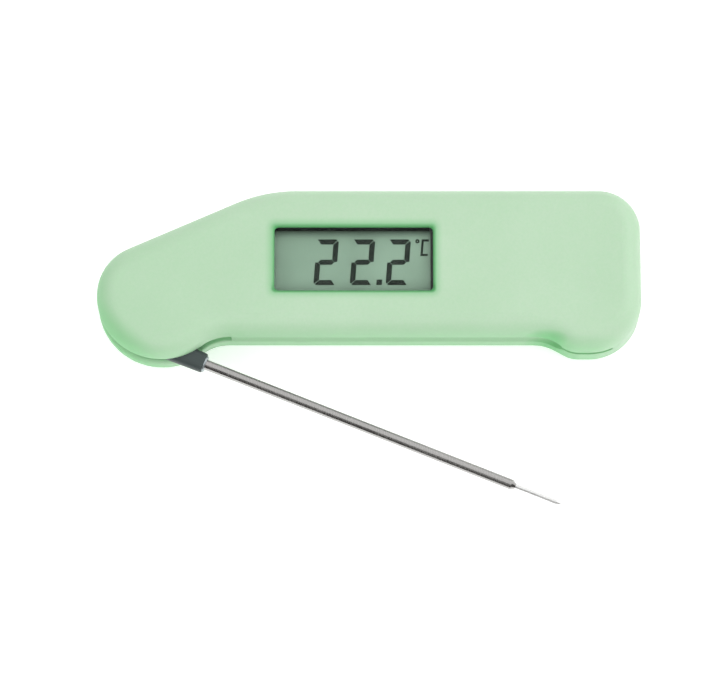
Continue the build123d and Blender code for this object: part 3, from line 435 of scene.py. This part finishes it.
# ---------------------------------------------------------------------------
# material for each slot
# ---------------------------------------------------------------------------
SLOTS = {
    "mint_case": mint_plastic(),
    "hub_grey": moulded("hub_grey", srgb(55, 66, 65), rough=0.5, grain=1800.0, var=0.06,
                        worn=0.35),
    "steel": metal("stem_steel", (0.45, 0.443, 0.432), rough=0.24, scale=(9000, 500, 500),
                   rot=ALONG_STEM, var=0.05, strength=0.12),
    "screw_steel": metal("screw_steel", (0.55, 0.55, 0.54), rough=0.32,
                         scale=(2500, 2500, 2500)),
    "collar_steel": metal("collar_steel", (0.44, 0.49, 0.51), rough=0.38,
                          scale=(2500, 2500, 2500), rot=ALONG_STEM),
    "rubber_black": rubbery("rubber_black", (0.02, 0.02, 0.021)),
    "rubber_grey": rubbery("rubber_grey", (0.18, 0.185, 0.19)),
    "lens": clear_sheet("window_lens", (0.9, 0.96, 0.92), mirror=0.18, rough=0.06,
                        tint_amount=0.35),
    "lcd_glass": clear_sheet("lcd_glass", (0.86, 0.94, 0.88), mirror=0.12, rough=0.05,
                             tint_amount=0.3),
    "black_plastic": moulded("black_plastic", (0.012, 0.013, 0.013), rough=0.5,
                             grain=1800.0, var=0.15),
    "adhesive": rubbery("adhesive", (0.015, 0.015, 0.016)),
    "trim_blue": moulded("trim_blue", (0.03, 0.11, 0.42), rough=0.35, grain=2200.0,
                         strength=0.25, var=0.06),
    "brass": metal("brass", (0.72, 0.52, 0.22), rough=0.28, scale=(400, 400, 5200)),
    "gold": metal("gold", (0.83, 0.62, 0.25), rough=0.22, scale=(1200, 1200, 1200)),
    "tin": metal("tin", (0.66, 0.66, 0.63), rough=0.34, scale=(1500, 4200, 1500)),
    "cell_steel": metal("cell_steel", (0.64, 0.64, 0.63), rough=0.2,
                        scale=(1400, 5200, 1400)),
    "alloy_a": metal("alloy_a", (0.58, 0.52, 0.46), rough=0.35, scale=(900, 900, 900)),
    "alloy_b": metal("alloy_b", (0.50, 0.51, 0.53), rough=0.35, scale=(900, 900, 900)),
    "magnet": metal("magnet", (0.66, 0.66, 0.68), rough=0.18, scale=(1500, 1500, 1500)),
    "white_plastic": moulded("white_plastic", (0.72, 0.72, 0.69), grain=1800.0,
                             strength=0.3),
    "foam": rubbery("foam", (0.06, 0.06, 0.065), rough=0.9, grain=700.0),
    "wire_red": moulded("wire_red", (0.42, 0.03, 0.025), rough=0.4, grain=2500.0,
                        strength=0.25),
    "reed_glass": moulded("reed_glass", (0.35, 0.55, 0.42), rough=0.15, grain=2500.0,
                          strength=0.1, var=0.1),
    "chip_black": moulded("chip_black", (0.018, 0.018, 0.02), rough=0.42, grain=3200.0,
                          var=0.2),
    "smd": moulded("smd", (0.36, 0.25, 0.14), rough=0.4, grain=3200.0, strength=0.3,
                   var=0.25),
    "pcb_green": board_material(),
    "lcd_ink": lcd_ink(),
    "label_grey": paper_label(),
}
SLOTS["lcd_film"] = SLOTS["lcd_glass"]

# pieces that differ from the rest of their slot
display_ground = lcd_ground()
SPECIAL = {
    "lcd_reflector": display_ground,
    "lcd_rear_glass": display_ground,
    # painted highlight: the tip's steel is far paler than the stem's so that it reads washed out
    # with shine
    "probe_tip": metal("tip_steel_painted_highlight", (0.80, 0.80, 0.79), rough=0.42,
                       scale=(9000, 500, 500), rot=ALONG_STEM),
}

slot_of = {part["node"]: part["material_slot"] for part in frame["record"]["subparts"]}
for name, piece in frame["nodes"].items():
    piece.data.materials.clear()
    piece.data.materials.append(SPECIAL.get(name) or SLOTS[slot_of[name]])
    if name in ("front_case", "rear_case"):
        piece.visible_glossy = False    # keeps a green streak off the stem

# ---------------------------------------------------------------------------
# floor
# ---------------------------------------------------------------------------
scene = bpy.context.scene


def staged_quad(name, corners, material):
    mesh = bpy.data.meshes.new(name)
    mesh.from_pydata(corners, [], [(0, 1, 2, 3)])
    quad = bpy.data.objects.new(name, mesh)
    scene.collection.objects.link(quad)
    mesh.materials.append(material)
    return quad


def floor_material():
    """Pale, matt and faintly glowing."""
    k = material_graph("floor_pale")
    blotch = k.noise(scale=6.0, detail=4.0, rough=0.6)
    grain = k.noise(scale=420.0, detail=3.0, rough=0.6)
    return k.principled(
        Base_Color=k.mix(k.remap(blotch), (0.86, 0.86, 0.86), (0.90, 0.90, 0.90)),
        Roughness=0.75,
        Normal=k.bump(grain, strength=0.05, distance=0.0001),
        Specular_IOR_Level=0.2,
        Emission_Color=(1, 1, 1),
        Emission_Strength=0.38,
    )


FLOOR_HALF, FLOOR_Z = 2, -0.0004
staged_quad("floor", [(x * FLOOR_HALF, y * FLOOR_HALF, FLOOR_Z)
                      for x, y in ((-1, -1), (1, -1), (1, 1), (-1, 1))], floor_material())


# ---------------------------------------------------------------------------
# light
# ---------------------------------------------------------------------------
def studio_world():
    """Even white light, a little dimmer low down, at the left and at the near side."""
    world = bpy.data.worlds.new("studio")
    scene.world = world
    k = Graph(world, output="ShaderNodeOutputWorld")
    bright_side = (0.30, 0.18, 0.90)
    facing = k.dot(k.coords.outputs["Generated"], bright_side)
    strength = k.remap(facing, to=(0.66, 1.0), source=(-0.4, 0.9))
    k.surface(k.node("ShaderNodeBackground", {"Color": (1, 1, 1), "Strength": strength}))


def area(name, location, size, power):
    """Square area light aimed at the middle of the case."""
    light = bpy.data.lights.new(name, "AREA")
    light.energy = power
    light.shape = "RECTANGLE"
    light.size = size
    light.size_y = size
    lamp = bpy.data.objects.new(name, light)
    scene.collection.objects.link(lamp)
    lamp.location = location
    aim = Vector((0.057, 0.0, 0.0)) - Vector(location)
    lamp.rotation_euler = aim.to_track_quat("-Z", "Y").to_euler()


def flag_material():
    k = material_graph("flag_dark")
    blotch = k.noise(scale=3.0, detail=3.0)
    colour = k.mix(k.remap(blotch), (0.030, 0.028, 0.025), (0.060, 0.056, 0.050))
    return k.surface(k.node("ShaderNodeEmission", {"Color": colour}))


studio_world()
area("key", location=(0.80, 0.45, 0.70), size=0.7, power=3.0)
area("fill", location=(0.02, -0.60, 0.85), size=0.5, power=2.4)

# upright dark flag at the near side, seen only in reflections: it draws the dark line
# along the stem
LEFT, RIGHT, FLAG_Y, BOTTOM, TOP = -1.2, 1.6, -0.36, -0.0003, 1.22
flag = staged_quad("flag", [(LEFT, FLAG_Y, BOTTOM), (RIGHT, FLAG_Y, BOTTOM),
                            (RIGHT, FLAG_Y, TOP), (LEFT, FLAG_Y, TOP)], flag_material())
for ray in ("camera", "diffuse", "shadow", "transmission", "volume_scatter"):
    setattr(flag, "visible_" + ray, False)

# ---------------------------------------------------------------------------
# camera: above the case, tilted towards the near side
# ---------------------------------------------------------------------------
TILT = math.radians(15.0)
DISTANCE = 1.2
VIEW_WIDTH = 0.206712    # width seen at the target
SENSOR_WIDTH = 36.0      # mm
TARGET = Vector((0.05685, -0.01506, 0.0095))

cam_data = bpy.data.cameras.new("cam")
cam = bpy.data.objects.new("cam", cam_data)
scene.collection.objects.link(cam)
cam.location = TARGET + Vector((0, -math.sin(TILT), math.cos(TILT))) * DISTANCE
cam.rotation_euler = (TILT, 0, 0)
cam_data.sensor_fit = "HORIZONTAL"
cam_data.sensor_width = SENSOR_WIDTH
cam_data.lens = SENSOR_WIDTH * DISTANCE / VIEW_WIDTH
cam_data.clip_start = 0.05
scene.camera = cam
scene.view_settings.view_transform = "Standard"
scene.cycles.transparent_max_bounces = 32
